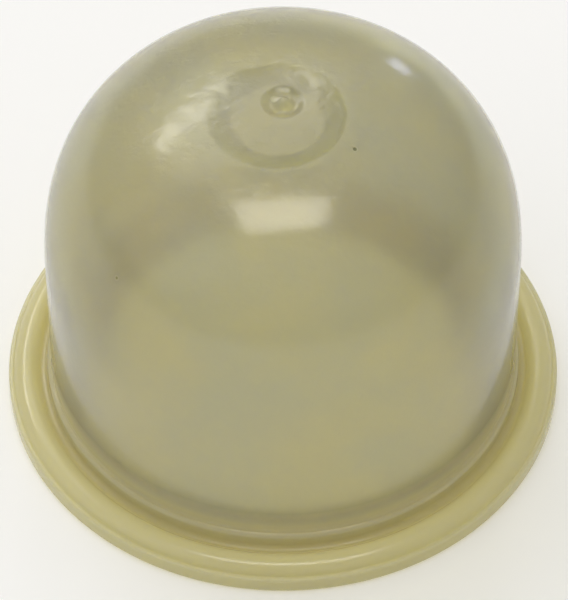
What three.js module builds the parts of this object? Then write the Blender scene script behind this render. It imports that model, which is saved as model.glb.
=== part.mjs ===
// A primer bulb for a small-engine carburettor: one moulded piece of clear polyurethane.
// Millimetres, +Z up. The origin is the centre of the flange's flat underside, on the bulb's axis.
import * as THREE from "three";

// Overall sizes
const flangeDiameter = 22.4;
const flangeThickness = 1.1;
const bulbHeight = 16.2;
const wallDiameter = 18.9;
const wallThickness = 1;

// The dome: a straight wall up to straightWallHeight, then a crown flatter than a half ball.
// A crownFullness of 2 is an ellipse, and a larger one has squarer shoulders.
const straightWallHeight = 7.5;
const crownFullness = 2.5;

// The flange: a thin rim, and on it a round bead between a crease and the valley at the collar's foot
const rimHeight = 0.7;
const rimEdgeRadius = 0.1;
const rimLedgeWidth = 0.13;
const creaseFillet = 0.08;
const beadRadius = 0.6;
const footFillet = 0.2;
const lowerEdgeRadius = 0.12;

// The collar: a low step round the wall's foot, which centres the retaining plate
const collarHeight = 1.5;
const collarStep = 0.16;
const collarEdgeHeight = 0.2;

// The sealing lip: the bore narrows towards the mouth
const lipTopHeight = 1.8;
const lipFaceHeight = 0.9;
const lipStep = 0.45;
const lipEdgeRadius = 0.15;

// The round pad under the crown, where the finger presses
const padDiameter = 5.3;
const padThickness = 0.8;
const padBevelWidth = 0.9;

// The gate mark on the crown: a dished well with the sheared stub of the sprue in it
const gateWellDiameter = 1.8;
const gateWellDepth = 0.12;
const gateStubDiameter = 0.7;
const gateStubHeight = 0.3;

// Facets
const facetsRound = 80;
const facetsCrown = 12;
const facetsCorner = 4;

const wallRadius = wallDiameter / 2;
const flangeRadius = flangeDiameter / 2;
const collarRadius = wallRadius + collarStep;
const boreRadius = wallRadius - wallThickness;
const crownRise = bulbHeight - straightWallHeight;
const boreRise = crownRise - wallThickness;

// Height of a crown of this radius and rise above the straight wall, at a distance r from the axis.
function crownHeight(radius, rise, r) {
  const inward = Math.max(0, 1 - (r / radius) ** crownFullness);
  return straightWallHeight + rise * inward ** (1 / crownFullness);
}

// Points of a crown from the straight wall up to the distance rEnd from the axis.
function crownCurve(radius, rise, rEnd) {
  const power = 2 / crownFullness;
  const last = Math.acos((rEnd / radius) ** (1 / power));
  const points = [];
  for (let i = 0; i <= facetsCrown; i++) {
    const turn = (last * i) / facetsCrown;
    const r = radius * Math.cos(turn) ** power;
    points.push([r, crownHeight(radius, rise, r)]);
  }
  return points;
}

// Points of an arc about a centre, with both angles in degrees.
function arc(r, z, radius, from, to) {
  const points = [];
  for (let i = 0; i <= facetsCorner; i++) {
    const turn = THREE.MathUtils.degToRad(from + ((to - from) * i) / facetsCorner);
    points.push([r + radius * Math.cos(turn), z + radius * Math.sin(turn)]);
  }
  return points;
}

// Points of a smooth slope that leaves one point level and reaches the other level.
function levelSlope(r0, z0, r1, z1) {
  const points = [];
  for (let i = 1; i < facetsCorner; i++) {
    const share = i / facetsCorner;
    const fall = (1 - Math.cos(Math.PI * share)) / 2;
    points.push([r0 + (r1 - r0) * share, z0 + (z1 - z0) * fall]);
  }
  return points;
}

// Points of a smooth slope that leaves one point upright and reaches the other upright.
function uprightSlope(r0, z0, r1, z1) {
  return levelSlope(z0, r0, z1, r1).map(([z, r]) => [r, z]);
}

// The pad's underside and its bevel, which ends on the crown's inner face.
function padCurve() {
  const level = straightWallHeight + boreRise - padThickness;
  return [[0, level], [padDiameter / 2 - padBevelWidth, level]];
}

// The bore from the pad down to the mouth, with the sealing lip and its rounded lower edge.
function boreCurve() {
  const crown = crownCurve(boreRadius, boreRise, padDiameter / 2).reverse();
  const lipRadius = boreRadius - lipStep;
  const start = [boreRadius, lipTopHeight];
  const face = [lipRadius, lipFaceHeight];
  const edge = arc(lipRadius + lipEdgeRadius, lipEdgeRadius, lipEdgeRadius, 180, 270);
  return [...crown, start, ...uprightSlope(...start, ...face), face, ...edge];
}

// The flange from its flat underside up the rim, through the crease and over the bead to the collar.
// The fillets of the crease and of the valley touch the bead's arc.
function flangeCurve() {
  const rim = flangeRadius - rimEdgeRadius;
  const beadCentre = flangeThickness - beadRadius;
  const crease = flangeRadius - rimLedgeWidth;
  const creaseRise = rimHeight + creaseFillet - beadCentre;
  const crest = crease - Math.sqrt(Math.max(0, (beadRadius + creaseFillet) ** 2 - creaseRise ** 2));
  const foot = collarRadius + footFillet;
  const valley = Math.max(foot, crest - 0.9 * (beadRadius + footFillet));
  const valleyRise = Math.sqrt((beadRadius + footFillet) ** 2 - (valley - crest) ** 2);
  const creaseTurn = THREE.MathUtils.radToDeg(Math.atan2(creaseRise, crease - crest));
  const valleyTurn = THREE.MathUtils.radToDeg(Math.atan2(valleyRise, valley - crest));
  const middle = (creaseTurn + valleyTurn) / 2;
  return [
    ...arc(flangeRadius - lowerEdgeRadius, lowerEdgeRadius, lowerEdgeRadius, -90, 0),
    ...arc(rim, rimHeight - rimEdgeRadius, rimEdgeRadius, 0, 90),
    ...arc(crease, rimHeight + creaseFillet, creaseFillet, -90, creaseTurn - 180),
    ...arc(crest, beadCentre, beadRadius, creaseTurn, middle).slice(1),
    ...arc(crest, beadCentre, beadRadius, middle, valleyTurn).slice(1),
    ...arc(valley, beadCentre + valleyRise, footFillet, valleyTurn - 180, -90).slice(1),
    ...arc(foot, beadCentre + valleyRise, footFillet, -90, -180).slice(1),
  ];
}

// The collar's rounded upper edge, which ends on the wall.
function collarCurve() {
  const points = [];
  for (let i = 0; i <= facetsCorner; i++) {
    const turn = (Math.PI / 2) * (i / facetsCorner);
    const r = wallRadius + collarStep * Math.cos(turn);
    points.push([r, collarHeight - collarEdgeHeight * (1 - Math.sin(turn))]);
  }
  return points;
}

// The gate mark: down into the well, across its floor and up the stub to the axis.
function gateCurve() {
  const wellRadius = gateWellDiameter / 2;
  const stubRadius = gateStubDiameter / 2;
  const floor = crownHeight(wallRadius, crownRise, wellRadius) - gateWellDepth;
  return [
    [(wellRadius + stubRadius) / 2, floor],
    [stubRadius, floor],
    [stubRadius * 0.85, floor + gateStubHeight * 0.8],
    [stubRadius * 0.5, floor + gateStubHeight],
    [0, floor + gateStubHeight],
  ];
}

function primerBulb() {
  const profile = [
    ...padCurve(),
    ...boreCurve(),
    ...flangeCurve(),
    ...collarCurve(),
    ...crownCurve(wallRadius, crownRise, gateWellDiameter / 2),
    ...gateCurve(),
  ].map(([r, z]) => new THREE.Vector2(Math.max(0, r), z));
  const geometry = new THREE.LatheGeometry(profile, facetsRound);
  geometry.rotateX(Math.PI / 2);
  const polyurethane = new THREE.MeshStandardMaterial({
    color: 0xbcb683,
    roughness: 0.2,
    metalness: 0,
  });
  const mesh = new THREE.Mesh(geometry, polyurethane);
  mesh.name = "primer_bulb";
  return mesh;
}

const part = new THREE.Group();
part.add(primerBulb());

export default part;
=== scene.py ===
# A primer bulb of translucent polyurethane, standing on its flange on a pale floor.
import math

import bmesh
import bpy
from mathutils import Euler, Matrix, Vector

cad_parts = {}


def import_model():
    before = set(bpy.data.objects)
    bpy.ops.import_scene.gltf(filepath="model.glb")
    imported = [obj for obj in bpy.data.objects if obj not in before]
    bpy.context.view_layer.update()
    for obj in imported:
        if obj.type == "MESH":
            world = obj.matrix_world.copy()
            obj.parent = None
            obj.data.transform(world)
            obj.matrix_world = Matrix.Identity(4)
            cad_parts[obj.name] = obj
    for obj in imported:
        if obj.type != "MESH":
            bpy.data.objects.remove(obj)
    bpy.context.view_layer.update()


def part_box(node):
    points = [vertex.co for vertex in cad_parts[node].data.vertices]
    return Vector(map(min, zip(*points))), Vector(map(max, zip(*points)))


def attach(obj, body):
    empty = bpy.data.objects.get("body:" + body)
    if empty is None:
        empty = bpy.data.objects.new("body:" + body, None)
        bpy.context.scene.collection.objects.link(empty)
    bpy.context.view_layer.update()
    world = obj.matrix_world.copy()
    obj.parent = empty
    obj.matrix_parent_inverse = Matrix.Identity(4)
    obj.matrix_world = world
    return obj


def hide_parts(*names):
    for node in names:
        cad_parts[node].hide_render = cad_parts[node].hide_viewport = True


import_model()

MM = 0.001

# The bulb's section in millimetres, as in the CAD part. The flange's width comes from the frame.
cad_low, cad_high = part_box("primer_bulb")
FLANGE_RADIUS = (cad_high.x - cad_low.x) / 2 / MM
FLANGE_THICKNESS = 1.1
BULB_HEIGHT = 16.2
WALL_RADIUS = 9.45
WALL_THICKNESS = 1.0
STRAIGHT_WALL_HEIGHT = 7.5
CROWN_FULLNESS = 2.5
RIM_HEIGHT = 0.7
RIM_EDGE_RADIUS = 0.1
RIM_LEDGE_WIDTH = 0.13
CREASE_FILLET = 0.08
BEAD_RADIUS = 0.6
FOOT_FILLET = 0.2
LOWER_EDGE_RADIUS = 0.12
COLLAR_HEIGHT = 1.5
COLLAR_STEP = 0.16
COLLAR_EDGE_HEIGHT = 0.2
LIP_TOP_HEIGHT = 1.8
LIP_FACE_HEIGHT = 0.9
LIP_STEP = 0.45
LIP_EDGE_RADIUS = 0.15
PAD_RADIUS = 2.65
PAD_THICKNESS = 0.8
PAD_BEVEL_WIDTH = 0.9
PAD_SOFTENED = 0.06
GATE_WELL_RADIUS = 0.9
GATE_WELL_DEPTH = 0.12
GATE_STUB_HEIGHT = 0.3
GATE_STUB_FOOT = 0.49

COLLAR_RADIUS = WALL_RADIUS + COLLAR_STEP
BORE_RADIUS = WALL_RADIUS - WALL_THICKNESS
LIP_RADIUS = BORE_RADIUS - LIP_STEP
CROWN_RISE = BULB_HEIGHT - STRAIGHT_WALL_HEIGHT
BORE_RISE = CROWN_RISE - WALL_THICKNESS

# The core that moulds the inside sits a little to the left, up where the pad is
CORE_SHIFT = -0.22
CORE_SHIFT_END = BORE_RADIUS - 1

# Tones of the resin's haze: two in clouds, and those of the flange and the pad's bevel, and the yellow of a
# glow of light painted on the back-left lip
HAZE_GREEN = (0.70, 0.695, 0.63)
HAZE_YELLOW = (0.755, 0.725, 0.58)
HAZE_FLANGE = (0.69, 0.645, 0.40)
HAZE_BEVEL = (0.58, 0.56, 0.08)
# The yellow of light shining through the flange from the left-back, painted on the back-left lip as a glow
HAZE_PAINTED_GLOW = (0.72, 0.67, 0.42)

# How clear the resin is in the dome and in the flange, and the share of that which is left in hazier places
CLEAR_DOME = 0.74
CLEAR_FLANGE = 0.32
CLEAR_IN_BEVEL = 0.3
# How clear the resin stays under the painted glow on the lip
CLEAR_IN_PAINTED_GLOW = 0.8
CLEAR_IN_MARK = 0.4

# What the resin takes from light that crosses it, for each metre, and from a lamp's light at each face
ABSORPTION_COLOUR = (0.76, 0.74, 0.30)
ABSORPTION_DENSITY = 560
LAMP_LIGHT_KEPT = (0.84, 0.83, 0.77)

# Roughness of the clear and of the frosted surface
ROUGH_CLEAR = 0.13
ROUGH_FROSTED = 0.27

# How the resin bends, mirrors and scatters light, with the scatter's length in millimetres
IOR = 1.49
MIRROR_LEVEL = 0.28
SCATTER_RADIUS = (1.0, 0.95, 0.6)
SCATTER_SCALE = 2.0

# Noise for the haze's clouds, the frosted patches, the peel and the grain: millimetres and detail
CLOUDS = (4.0, 3.0)
PATCHES = (0.7, 4.0)
PEEL = (1.5, 1.0)
GRAIN = (0.3, 3.0)

# The stretches of noise over which the clouds and the patches come in
CLOUDS_BAND = (0.38, 0.62)
PATCHES_BAND = (0.4, 0.62)

# Heights in millimetres of the peel and the grain, and how strongly they show, in clear and frosted places
PEEL_HEIGHT = 0.05
PEEL_STRENGTH = 0.3
GRAIN_HEIGHT = 0.03
GRAIN_STRENGTH = (0.2, 1.0)

# The flange's haze fades out between these heights
FLANGE_HAZE_FROM = 1.9
FLANGE_HAZE_TO = 2.7

# Places on the bulb, each with how far its effect stays full and where it ends, in millimetres
FROSTED = ((-2, 1, 15.9), 4.2, 6.6)
# Where a yellow glow of light is painted on the back-left lip, standing in for light that shines through the
# flange from the left-back
PAINTED_GLOW_PLACE = ((-6.6, 5.2, 1.2), 1.5, 6.5)
PAD_OUTER = ((CORE_SHIFT, 0, 12), 3.95, 4.05)
PAD_FACE = ((CORE_SHIFT, 0, 12), 2.9, 3.1)
# A painted highlight on the upper left of the sprue's stub, where the resin is also made hazier
STUB_PAINTED_HIGHLIGHT = ((-0.3, 0.25, 16.3), 0.12, 0.3)
STUB_HIGHLIGHT_HAZE = ((-0.3, 0.25, 16.3), 0.15, 0.3)
SPECKS = (
    ((2.73, -2.18, 15.9), 0.065, 0.13),
    ((-6.3, -5.6, 12.4), 0.06, 0.12),
    ((5.6, -7.4, 4.4), 0.06, 0.12),
)
# The white of the stub's painted highlight, and the dark of the specks
STUB_HIGHLIGHT_WHITE = (0.93, 0.9, 0.72)
SPECK_DARK = (0.2, 0.2, 0.12)

# The sky's brightness
SKY_HORIZON = 0.26
SKY_ZENITH = 0.56

# The floor lies a hair below the flange, so that no two faces meet in one plane
FLOOR_HALF_WIDTH = 1.2
FLOOR_DROP = 0.02
FLOOR_COLOUR = (0.96, 0.96, 0.955)
FLOOR_ROUGHNESS = 0.9

# The lamps stand this far from a point inside the bulb, in metres
LAMP_DISTANCE = 0.6
LAMP_AIM = (0, 0, 0.01)
PANEL_LIGHT = (1, 0.97, 0.92)
WARM_LIGHT = (1, 0.97, 0.9)
BLUISH_LIGHT = (0.66, 0.7, 1.0)

# The camera, fitted to the photo's outline: degrees and millimetres
CAMERA_ELEVATION = 50.3
CAMERA_DISTANCE = 180
CAMERA_AIM = (0.04, 0, 4.58)
CAMERA_LENS = 263.3
CAMERA_SENSOR = 36

# Mesh resolution
STEPS_ROUND = 288
STEPS_CROWN = 72
STEPS_CORNER = 10
STEPS_WALL = 24
STEPS_PAD_FACE = 12
STEPS_PAD_BEVEL = 8
STEPS_UNDERSIDE = 8

# Points of the mesh this close are one, in metres
MERGE_DISTANCE = 1e-7


def crown_height(radius, rise, r):
    inward = max(0.0, 1 - (r / radius) ** CROWN_FULLNESS)
    return STRAIGHT_WALL_HEIGHT + rise * inward ** (1 / CROWN_FULLNESS)


def crown_curve(radius, rise, r_end):
    """Points from the straight wall up to the distance r_end from the axis."""
    power = 2 / CROWN_FULLNESS
    last = math.acos((r_end / radius) ** (1 / power))
    points = []
    for i in range(STEPS_CROWN + 1):
        r = radius * math.cos(last * i / STEPS_CROWN) ** power
        points.append((r, crown_height(radius, rise, r)))
    return points


def arc(r, z, radius, start, end):
    """Points of an arc about (r, z), with both angles in degrees."""
    points = []
    for i in range(STEPS_CORNER + 1):
        turn = math.radians(start + (end - start) * i / STEPS_CORNER)
        points.append((r + radius * math.cos(turn), z + radius * math.sin(turn)))
    return points


def level_slope(r0, z0, r1, z1):
    """Inner points of a smooth slope that leaves one point level and reaches the other level."""
    points = []
    for i in range(1, 2 * STEPS_CORNER):
        share = i / (2 * STEPS_CORNER)
        fall = (1 - math.cos(math.pi * share)) / 2
        points.append((r0 + (r1 - r0) * share, z0 + (z1 - z0) * fall))
    return points


def straight(r0, z0, r1, z1, steps):
    """Inner points of a straight stretch."""
    return [(r0 + (r1 - r0) * i / steps, z0 + (z1 - z0) * i / steps) for i in range(1, steps)]


def upright_slope(r0, z0, r1, z1):
    """Inner points of a smooth slope that leaves one point upright and reaches the other upright."""
    return [(r, z) for z, r in level_slope(z0, r0, z1, r1)]


def pad_curve():
    """The pad's face and its bevel, with the corner between them softened."""
    level = STRAIGHT_WALL_HEIGHT + BORE_RISE - PAD_THICKNESS
    face = PAD_RADIUS - PAD_BEVEL_WIDTH
    root = crown_height(BORE_RADIUS, BORE_RISE, PAD_RADIUS)
    slope = (root - level) / PAD_BEVEL_WIDTH
    start = (face + PAD_SOFTENED, level + PAD_SOFTENED * slope)
    end = (PAD_RADIUS - PAD_SOFTENED, root - PAD_SOFTENED * slope)
    flat_end = face - PAD_SOFTENED
    flat = [(0, level), *straight(0, level, flat_end, level, STEPS_PAD_FACE), (flat_end, level)]
    return [*flat, start, *straight(*start, *end, STEPS_PAD_BEVEL), end]


def bore_curve():
    crown = crown_curve(BORE_RADIUS, BORE_RISE, PAD_RADIUS)[::-1]
    wall = straight(BORE_RADIUS, STRAIGHT_WALL_HEIGHT, BORE_RADIUS, LIP_TOP_HEIGHT, STEPS_WALL)
    start = (BORE_RADIUS, LIP_TOP_HEIGHT)
    face = (LIP_RADIUS, LIP_FACE_HEIGHT)
    edge = arc(LIP_RADIUS + LIP_EDGE_RADIUS, LIP_EDGE_RADIUS, LIP_EDGE_RADIUS, 180, 270)
    return [*crown, *wall, start, *upright_slope(*start, *face), face, *edge]


def flange_curve():
    """From the underside up the rim, through the crease and over the bead to the collar's foot."""
    bead_centre = FLANGE_THICKNESS - BEAD_RADIUS
    crease = FLANGE_RADIUS - RIM_LEDGE_WIDTH
    crease_rise = RIM_HEIGHT + CREASE_FILLET - bead_centre
    crest = crease - math.sqrt((BEAD_RADIUS + CREASE_FILLET) ** 2 - crease_rise**2)
    valley = COLLAR_RADIUS + FOOT_FILLET
    valley_rise = math.sqrt((BEAD_RADIUS + FOOT_FILLET) ** 2 - (valley - crest) ** 2)
    crease_turn = math.degrees(math.atan2(crease_rise, crease - crest))
    valley_turn = math.degrees(math.atan2(valley_rise, valley - crest))
    middle = (crease_turn + valley_turn) / 2
    side = FLANGE_RADIUS - LOWER_EDGE_RADIUS
    return [
        *straight(LIP_RADIUS + LIP_EDGE_RADIUS, 0, side, 0, STEPS_UNDERSIDE),
        *arc(side, LOWER_EDGE_RADIUS, LOWER_EDGE_RADIUS, -90, 0),
        *arc(FLANGE_RADIUS - RIM_EDGE_RADIUS, RIM_HEIGHT - RIM_EDGE_RADIUS, RIM_EDGE_RADIUS, 0, 90),
        *arc(crease, RIM_HEIGHT + CREASE_FILLET, CREASE_FILLET, -90, crease_turn - 180),
        *arc(crest, bead_centre, BEAD_RADIUS, crease_turn, middle)[1:],
        *arc(crest, bead_centre, BEAD_RADIUS, middle, valley_turn)[1:],
        *arc(valley, bead_centre + valley_rise, FOOT_FILLET, valley_turn - 180, -180)[1:],
    ]


def collar_curve():
    """The collar's rounded upper edge, then the straight wall above it."""
    points = []
    for i in range(STEPS_CORNER + 1):
        turn = math.pi / 2 * i / STEPS_CORNER
        z = COLLAR_HEIGHT - COLLAR_EDGE_HEIGHT * (1 - math.sin(turn))
        points.append((WALL_RADIUS + COLLAR_STEP * math.cos(turn), z))
    wall = straight(WALL_RADIUS, COLLAR_HEIGHT, WALL_RADIUS, STRAIGHT_WALL_HEIGHT, STEPS_WALL)
    return [*points, *wall]


def gate_curve():
    """The gate mark: a dished well, and the rounded stub of the sprue in it."""
    rim = crown_height(WALL_RADIUS, CROWN_RISE, GATE_WELL_RADIUS)
    floor = rim - GATE_WELL_DEPTH
    top = floor + GATE_STUB_HEIGHT
    dish = level_slope(GATE_WELL_RADIUS, rim, GATE_STUB_FOOT, floor)
    return [*dish, (GATE_STUB_FOOT, floor), *level_slope(GATE_STUB_FOOT, floor, 0, top), (0, top)]


def section():
    outer_crown = crown_curve(WALL_RADIUS, CROWN_RISE, GATE_WELL_RADIUS)
    return [*pad_curve(), *bore_curve(), *flange_curve(), *collar_curve(), *outer_crown, *gate_curve()]


def core_shift(r, z):
    """How far a point of the section lies to the side: the pad's, fading out down the crown's inner face."""
    inside = z < crown_height(WALL_RADIUS, CROWN_RISE, min(r, WALL_RADIUS)) - WALL_THICKNESS / 2
    fade = min(1, max(0, (r - PAD_RADIUS) / (CORE_SHIFT_END - PAD_RADIUS)))
    in_crown = inside and z > STRAIGHT_WALL_HEIGHT
    return CORE_SHIFT * (1 + math.cos(math.pi * fade)) / 2 if in_crown else 0.0


def revolve(name, points):
    """A closed solid of revolution about Z. The section starts and ends on the axis."""
    bm = bmesh.new()
    rings = []
    for r, z in points:
        shift = core_shift(r, z) * MM
        if r == 0:
            rings.append([bm.verts.new((shift, 0, z * MM))] * STEPS_ROUND)
            continue
        ring = []
        for k in range(STEPS_ROUND):
            turn = 2 * math.pi * k / STEPS_ROUND
            ring.append(bm.verts.new((r * MM * math.cos(turn) + shift, r * MM * math.sin(turn), z * MM)))
        rings.append(ring)
    for low, high in zip(rings, rings[1:]):
        for k in range(STEPS_ROUND):
            nxt = (k + 1) % STEPS_ROUND
            corners = dict.fromkeys((low[k], low[nxt], high[nxt], high[k]))
            bm.faces.new(list(corners))
    bmesh.ops.remove_doubles(bm, verts=bm.verts, dist=MERGE_DISTANCE)
    bmesh.ops.recalc_face_normals(bm, faces=bm.faces)
    mesh = bpy.data.meshes.new(name)
    bm.to_mesh(mesh)
    bm.free()
    mesh.shade_smooth()
    obj = bpy.data.objects.new(name, mesh)
    bpy.context.scene.collection.objects.link(obj)
    return obj


def noise_node(nodes, links, place, feature, detail):
    """Noise whose blobs are about feature millimetres wide, in the bulb's own space."""
    texture = nodes.new("ShaderNodeTexNoise")
    texture.inputs["Scale"].default_value = 1 / (feature * MM)
    texture.inputs["Detail"].default_value = detail
    links.new(place, texture.inputs["Vector"])
    return texture.outputs["Fac"]


def remap(nodes, links, value, low, high, to_low, to_high):
    """A value from low to high carried over to to_low to to_high, and held there outside."""
    node = nodes.new("ShaderNodeMapRange")
    node.inputs["From Min"].default_value = low
    node.inputs["From Max"].default_value = high
    node.inputs["To Min"].default_value = to_low
    node.inputs["To Max"].default_value = to_high
    links.new(value, node.inputs["Value"])
    return node.outputs["Result"]


def bump_node(nodes, links, place, noise, height):
    node = nodes.new("ShaderNodeBump")
    node.inputs["Distance"].default_value = height * MM
    links.new(noise_node(nodes, links, place, *noise), node.inputs["Height"])
    return node


def tint(nodes, links, share, before, colour):
    """The colour before, mixed with another by a share."""
    node = nodes.new("ShaderNodeMix")
    node.data_type = "RGBA"
    links.new(before, node.inputs["A"])
    node.inputs["B"].default_value = (*colour, 1)
    links.new(share, node.inputs["Factor"])
    return node.outputs["Result"]


def flat_colour(nodes, colour):
    node = nodes.new("ShaderNodeRGB")
    node.outputs["Color"].default_value = (*colour, 1)
    return node.outputs["Color"]


def product(nodes, links, first, second):
    node = nodes.new("ShaderNodeMath")
    node.operation = "MULTIPLY"
    links.new(first, node.inputs[0])
    links.new(second, node.inputs[1])
    return node.outputs["Value"]


def near(nodes, links, place, centre, core, reach):
    """1 within core millimetres of a point of the bulb, and 0 beyond reach."""
    node = nodes.new("ShaderNodeVectorMath")
    node.operation = "DISTANCE"
    node.inputs[1].default_value = [v * MM for v in centre]
    links.new(place, node.inputs[0])
    return remap(nodes, links, node.outputs["Value"], core * MM, reach * MM, 1, 0)


def resin_haze(nodes, links, place, in_flange, in_painted_glow, in_bevel):
    """The haze's colour over the bulb, with the clouds, a glow of light painted on the back-left lip, a
    painted highlight on the sprue's stub and the small marks.
    """
    clouds = remap(nodes, links, noise_node(nodes, links, place, *CLOUDS), *CLOUDS_BAND, 0, 1)
    colour = tint(nodes, links, clouds, flat_colour(nodes, HAZE_GREEN), HAZE_YELLOW)
    colour = tint(nodes, links, in_flange, colour, HAZE_FLANGE)
    colour = tint(nodes, links, in_painted_glow, colour, HAZE_PAINTED_GLOW)
    colour = tint(nodes, links, in_bevel, colour, HAZE_BEVEL)
    # The stub of the sprue gets a painted highlight, whitish on its upper left, and three dark specks are
    # moulded in.
    colour = tint(nodes, links, near(nodes, links, place, *STUB_PAINTED_HIGHLIGHT), colour, STUB_HIGHLIGHT_WHITE)
    for speck in SPECKS:
        colour = tint(nodes, links, near(nodes, links, place, *speck), colour, SPECK_DARK)
    return colour


def resin_clearness(nodes, links, place, in_flange, in_painted_glow, in_bevel):
    """How much of the light goes through, less where the resin is hazier."""
    hazier = [(in_bevel, CLEAR_IN_BEVEL), (in_painted_glow, CLEAR_IN_PAINTED_GLOW)]
    # The stub's painted highlight and the specks are made hazier
    for mark in (STUB_HIGHLIGHT_HAZE, *SPECKS):
        hazier.append((near(nodes, links, place, *mark), CLEAR_IN_MARK))
    clear = remap(nodes, links, in_flange, 0, 1, CLEAR_DOME, CLEAR_FLANGE)
    for inside, kept in hazier:
        clear = product(nodes, links, clear, remap(nodes, links, inside, 0, 1, 1, kept))
    return clear


def resin_surface(nodes, links, place, shader):
    """Gloss with a faint peel. The mould is worn rough round the gate, which frosts the crown in patches."""
    patches = remap(nodes, links, noise_node(nodes, links, place, *PATCHES), *PATCHES_BAND, 0, 1)
    frost = product(nodes, links, near(nodes, links, place, *FROSTED), patches)
    roughness = remap(nodes, links, frost, 0, 1, ROUGH_CLEAR, ROUGH_FROSTED)
    links.new(roughness, shader.inputs["Roughness"])
    peel = bump_node(nodes, links, place, PEEL, PEEL_HEIGHT)
    peel.inputs["Strength"].default_value = PEEL_STRENGTH
    grain = bump_node(nodes, links, place, GRAIN, GRAIN_HEIGHT)
    links.new(peel.outputs["Normal"], grain.inputs["Normal"])
    links.new(remap(nodes, links, frost, 0, 1, *GRAIN_STRENGTH), grain.inputs["Strength"])
    links.new(grain.outputs["Normal"], shader.inputs["Normal"])


def lit_inside(nodes, links, shader, output):
    """Lamps shine through both faces of the wall, so that the inside and the floor under it are lit."""
    lamp_light = nodes.new("ShaderNodeBsdfTransparent")
    lamp_light.inputs["Color"].default_value = (*LAMP_LIGHT_KEPT, 1)
    path = nodes.new("ShaderNodeLightPath")
    mix = nodes.new("ShaderNodeMixShader")
    links.new(path.outputs["Is Shadow Ray"], mix.inputs["Fac"])
    links.new(shader.outputs["BSDF"], mix.inputs[1])
    links.new(lamp_light.outputs["BSDF"], mix.inputs[2])
    links.new(mix.outputs["Shader"], output.inputs["Surface"])


def polyurethane():
    """Olive-yellow resin: clear at heart, with a milky haze, and more yellow where it is thick."""
    mat = bpy.data.materials.new("polyurethane")
    mat.use_nodes = True
    nodes = mat.node_tree.nodes
    links = mat.node_tree.links
    shader = nodes["Principled BSDF"]
    output = nodes["Material Output"]
    place = nodes.new("ShaderNodeTexCoord").outputs["Object"]

    height = nodes.new("ShaderNodeSeparateXYZ")
    links.new(place, height.inputs["Vector"])
    in_flange = remap(nodes, links, height.outputs["Z"], FLANGE_HAZE_FROM * MM, FLANGE_HAZE_TO * MM, 1, 0)
    # The painted glow of light on the back-left lip
    in_painted_glow = near(nodes, links, place, *PAINTED_GLOW_PLACE)
    past_face = remap(nodes, links, near(nodes, links, place, *PAD_FACE), 0, 1, 1, 0)
    in_bevel = product(nodes, links, near(nodes, links, place, *PAD_OUTER), past_face)
    zones = (in_flange, in_painted_glow, in_bevel)
    links.new(resin_haze(nodes, links, place, *zones), shader.inputs["Base Color"])
    links.new(resin_clearness(nodes, links, place, *zones), shader.inputs["Transmission Weight"])
    resin_surface(nodes, links, place, shader)

    shader.inputs["IOR"].default_value = IOR
    shader.inputs["Specular IOR Level"].default_value = MIRROR_LEVEL
    shader.inputs["Subsurface Weight"].default_value = 1.0
    shader.inputs["Subsurface Radius"].default_value = SCATTER_RADIUS
    shader.inputs["Subsurface Scale"].default_value = SCATTER_SCALE * MM

    absorption = nodes.new("ShaderNodeVolumeAbsorption")
    absorption.inputs["Color"].default_value = (*ABSORPTION_COLOUR, 1)
    absorption.inputs["Density"].default_value = ABSORPTION_DENSITY
    links.new(absorption.outputs["Volume"], output.inputs["Volume"])
    lit_inside(nodes, links, shader, output)
    return mat


def floor():
    mesh = bpy.data.meshes.new("floor")
    half, drop = FLOOR_HALF_WIDTH, -FLOOR_DROP * MM
    corners = [(-half, -half, drop), (half, -half, drop), (half, half, drop), (-half, half, drop)]
    mesh.from_pydata(corners, [], [(0, 1, 2, 3)])
    obj = bpy.data.objects.new("floor", mesh)
    bpy.context.scene.collection.objects.link(obj)
    mat = bpy.data.materials.new("floor")
    mat.use_nodes = True
    shader = mat.node_tree.nodes["Principled BSDF"]
    shader.inputs["Base Color"].default_value = (*FLOOR_COLOUR, 1)
    shader.inputs["Roughness"].default_value = FLOOR_ROUGHNESS
    mesh.materials.append(mat)


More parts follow.
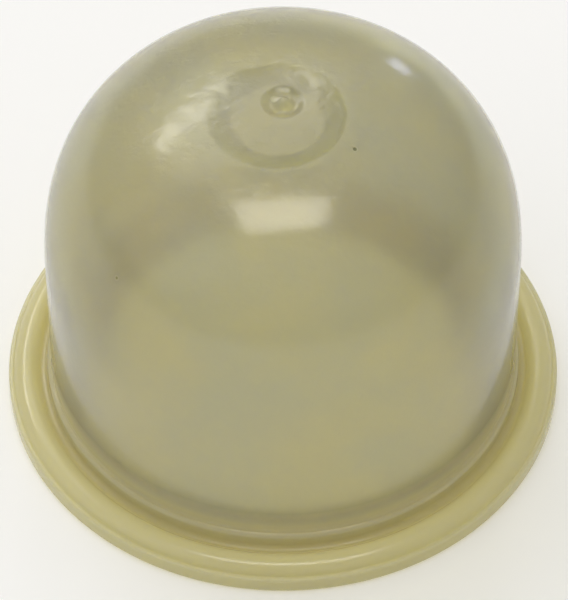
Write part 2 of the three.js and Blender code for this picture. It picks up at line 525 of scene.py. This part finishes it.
def softbox(name, azimuth, elevation, width, height, brightness, colour=(1, 1, 1), roll=0):
    """A soft light seen from the bulb in a direction, where azimuth 0 is +Y and 90 is +X.

    Its width and height are angles too. Its brightness is that of its face, where 1 is white.
    """
    light = bpy.data.lights.new(name, "AREA")
    light.shape = "RECTANGLE"
    light.size = 2 * LAMP_DISTANCE * math.tan(math.radians(width / 2))
    light.size_y = 2 * LAMP_DISTANCE * math.tan(math.radians(height / 2))
    light.energy = brightness * math.pi * light.size * light.size_y
    light.color = colour
    obj = bpy.data.objects.new(name, light)
    bpy.context.scene.collection.objects.link(obj)
    turn, rise = math.radians(azimuth), math.radians(elevation)
    level = math.cos(rise)
    away = Vector((math.sin(turn) * level, math.cos(turn) * level, math.sin(rise)))
    obj.location = Vector(LAMP_AIM) + away * LAMP_DISTANCE
    rotation = away.to_track_quat("Z", "Y") @ Euler((0, 0, math.radians(roll))).to_quaternion()
    obj.rotation_euler = rotation.to_euler()


def studio_lights():
    """A panel overhead, a strip and a pane behind, a dim screen above them, a small window and a fill."""
    softbox("panel", 180, 86, 30, 18, 5.6, colour=PANEL_LIGHT, roll=6)
    softbox("strip", -31, 43, 31, 8, 5.4, colour=WARM_LIGHT)
    softbox("pane", 5, 41, 7, 9, 3.8, colour=WARM_LIGHT)
    softbox("screen", -24, 53, 44, 24, 1.3)
    softbox("window", 23.5, 12, 5.5, 8, 4.6, colour=BLUISH_LIGHT)
    softbox("fill", -105, 35, 50, 45, 0.35)


def world():
    """A plain sky, dimmer towards the horizon."""
    sky = bpy.data.worlds.new("studio")
    bpy.context.scene.world = sky
    sky.use_nodes = True
    nodes = sky.node_tree.nodes
    links = sky.node_tree.links
    direction = nodes.new("ShaderNodeSeparateXYZ")
    links.new(nodes.new("ShaderNodeTexCoord").outputs["Generated"], direction.inputs["Vector"])
    strength = remap(nodes, links, direction.outputs["Z"], 0, 1, SKY_HORIZON, SKY_ZENITH)
    background = nodes["Background"]
    links.new(strength, background.inputs["Strength"])
    background.inputs["Color"].default_value = (1, 1, 1, 1)


def camera():
    data = bpy.data.cameras.new("camera")
    data.sensor_width = CAMERA_SENSOR
    data.lens = CAMERA_LENS
    data.clip_start = 0.001
    obj = bpy.data.objects.new("camera", data)
    bpy.context.scene.collection.objects.link(obj)
    elevation = math.radians(CAMERA_ELEVATION)
    obj.location = Vector((0, -math.cos(elevation), math.sin(elevation))) * CAMERA_DISTANCE * MM
    away = obj.location - Vector(CAMERA_AIM) * MM
    obj.rotation_euler = away.to_track_quat("Z", "Y").to_euler()
    bpy.context.scene.camera = obj


bulb = revolve("bulb", section())
bulb.data.materials.append(polyurethane())
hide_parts("primer_bulb")
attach(bulb, "root")
floor()
world()
studio_lights()
camera()
bpy.context.scene.view_settings.view_transform = "Standard"
